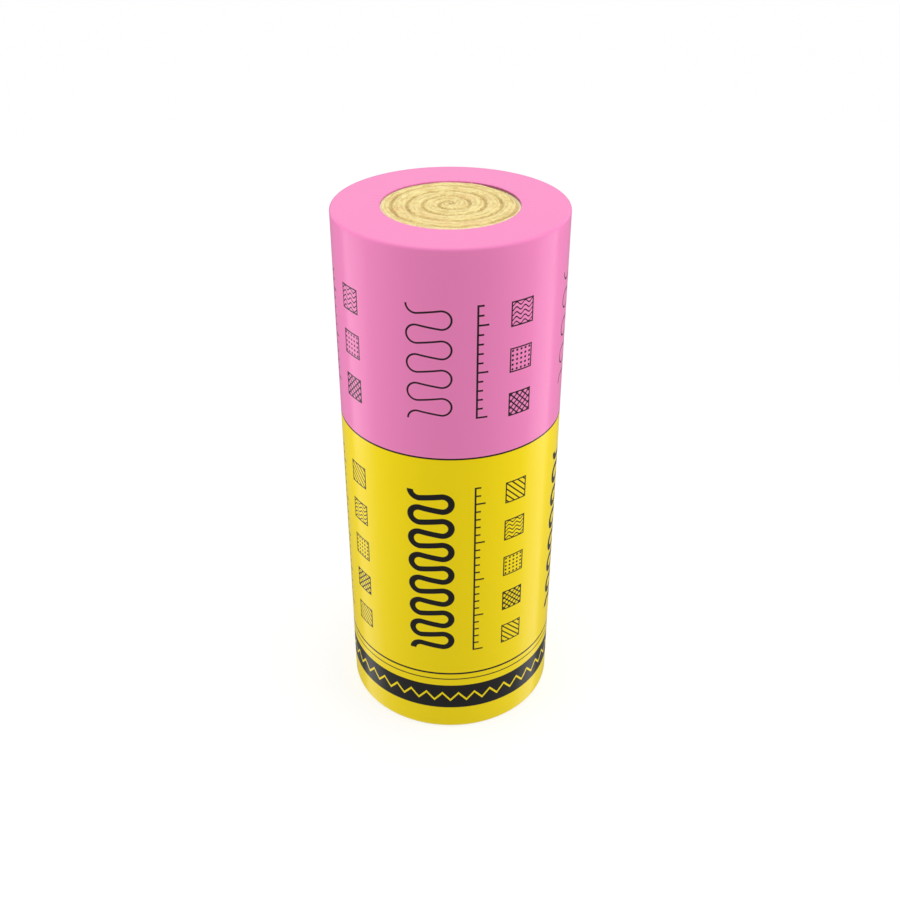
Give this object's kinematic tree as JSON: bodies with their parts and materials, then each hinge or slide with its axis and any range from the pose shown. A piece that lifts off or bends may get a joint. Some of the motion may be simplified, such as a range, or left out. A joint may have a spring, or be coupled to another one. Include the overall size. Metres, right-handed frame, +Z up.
{
  "type": "insulation roll",
  "caption": "Glass wool insulation blanket wound into a tall roll, sleeved in glossy two-colour film that folds over both ends and leaves a round opening showing the spiral winding.",
  "frame": {"origin": "centre of the base, on the floor that the roll stands on", "axes": "+Z up along the roll, -Y towards the front; the film's lap runs down the back, at +Y"},
  "size_m": [0.4799, 0.4806, 1.2],
  "materials": {
    "wool": "fibrous, matt",
    "film": "smooth glossy printed film, pink above and yellow below"
  },
  "bodies": {
    "root": {"wool_roll": "wool", "film_wrap": "film"}
  },
  "joints": []
}
